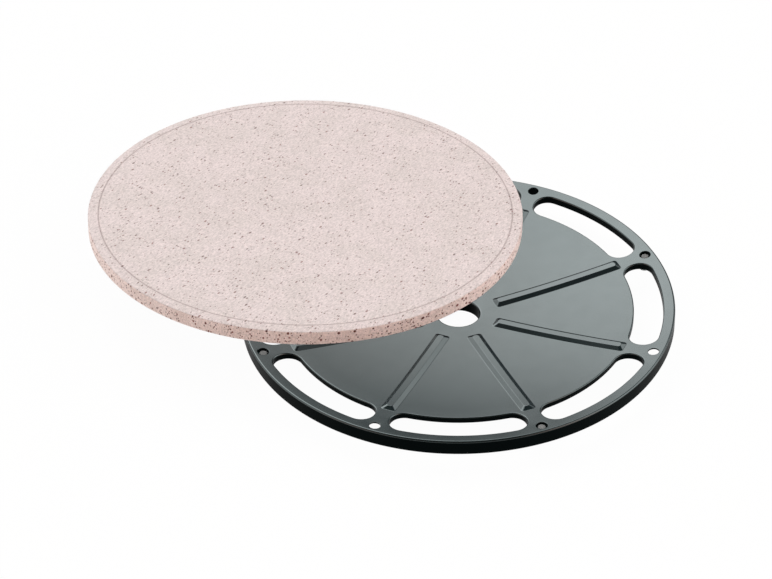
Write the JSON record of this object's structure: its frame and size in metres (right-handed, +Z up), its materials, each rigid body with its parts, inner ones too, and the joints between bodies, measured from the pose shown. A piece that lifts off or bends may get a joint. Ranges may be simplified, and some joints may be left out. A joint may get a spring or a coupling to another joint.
{
  "type": "hot stone and carrier plate",
  "caption": "Round granite hot stone lying slid off its dished, ribbed and vented carrier plate with a central drain spout; the stone swings back flat onto the rim.",
  "frame": {"origin": "centre of the drain spout's lower end, on the carrier plate's axis", "axes": "+Z up along the carrier plate's axis, +X to the right and +Y to the back as the picture shows the part, the stone lying to the left and back"},
  "size_m": [0.4416, 0.4144, 0.0527],
  "materials": {
    "granite": "honed, pink with fine dark specks",
    "enamel": "glossy black enamel",
    "stainless": "plain turned stainless steel"
  },
  "bodies": {
    "carrier": {"carrier_plate": "enamel", "weld_nut_1": "enamel", "weld_nut_2": "enamel", "weld_nut_3": "enamel", "weld_nut_4": "enamel", "lock_washer_1": "stainless", "lock_washer_2": "stainless", "lock_washer_3": "stainless", "lock_washer_4": "stainless", "foot_screw_1": "stainless", "foot_screw_2": "stainless", "foot_screw_3": "stainless", "foot_screw_4": "stainless"},
    "stone": {"hot_stone": "granite"}
  },
  "joints": [
    {"name": "stone_swing", "type": "hinge", "parent": "carrier", "child": "stone", "pos_m": [0.02816, 0.1581, 0.01877], "axis": [0.0763, 0.0039, 0.9971], "range_deg": [0, 54.2]}
  ]
}
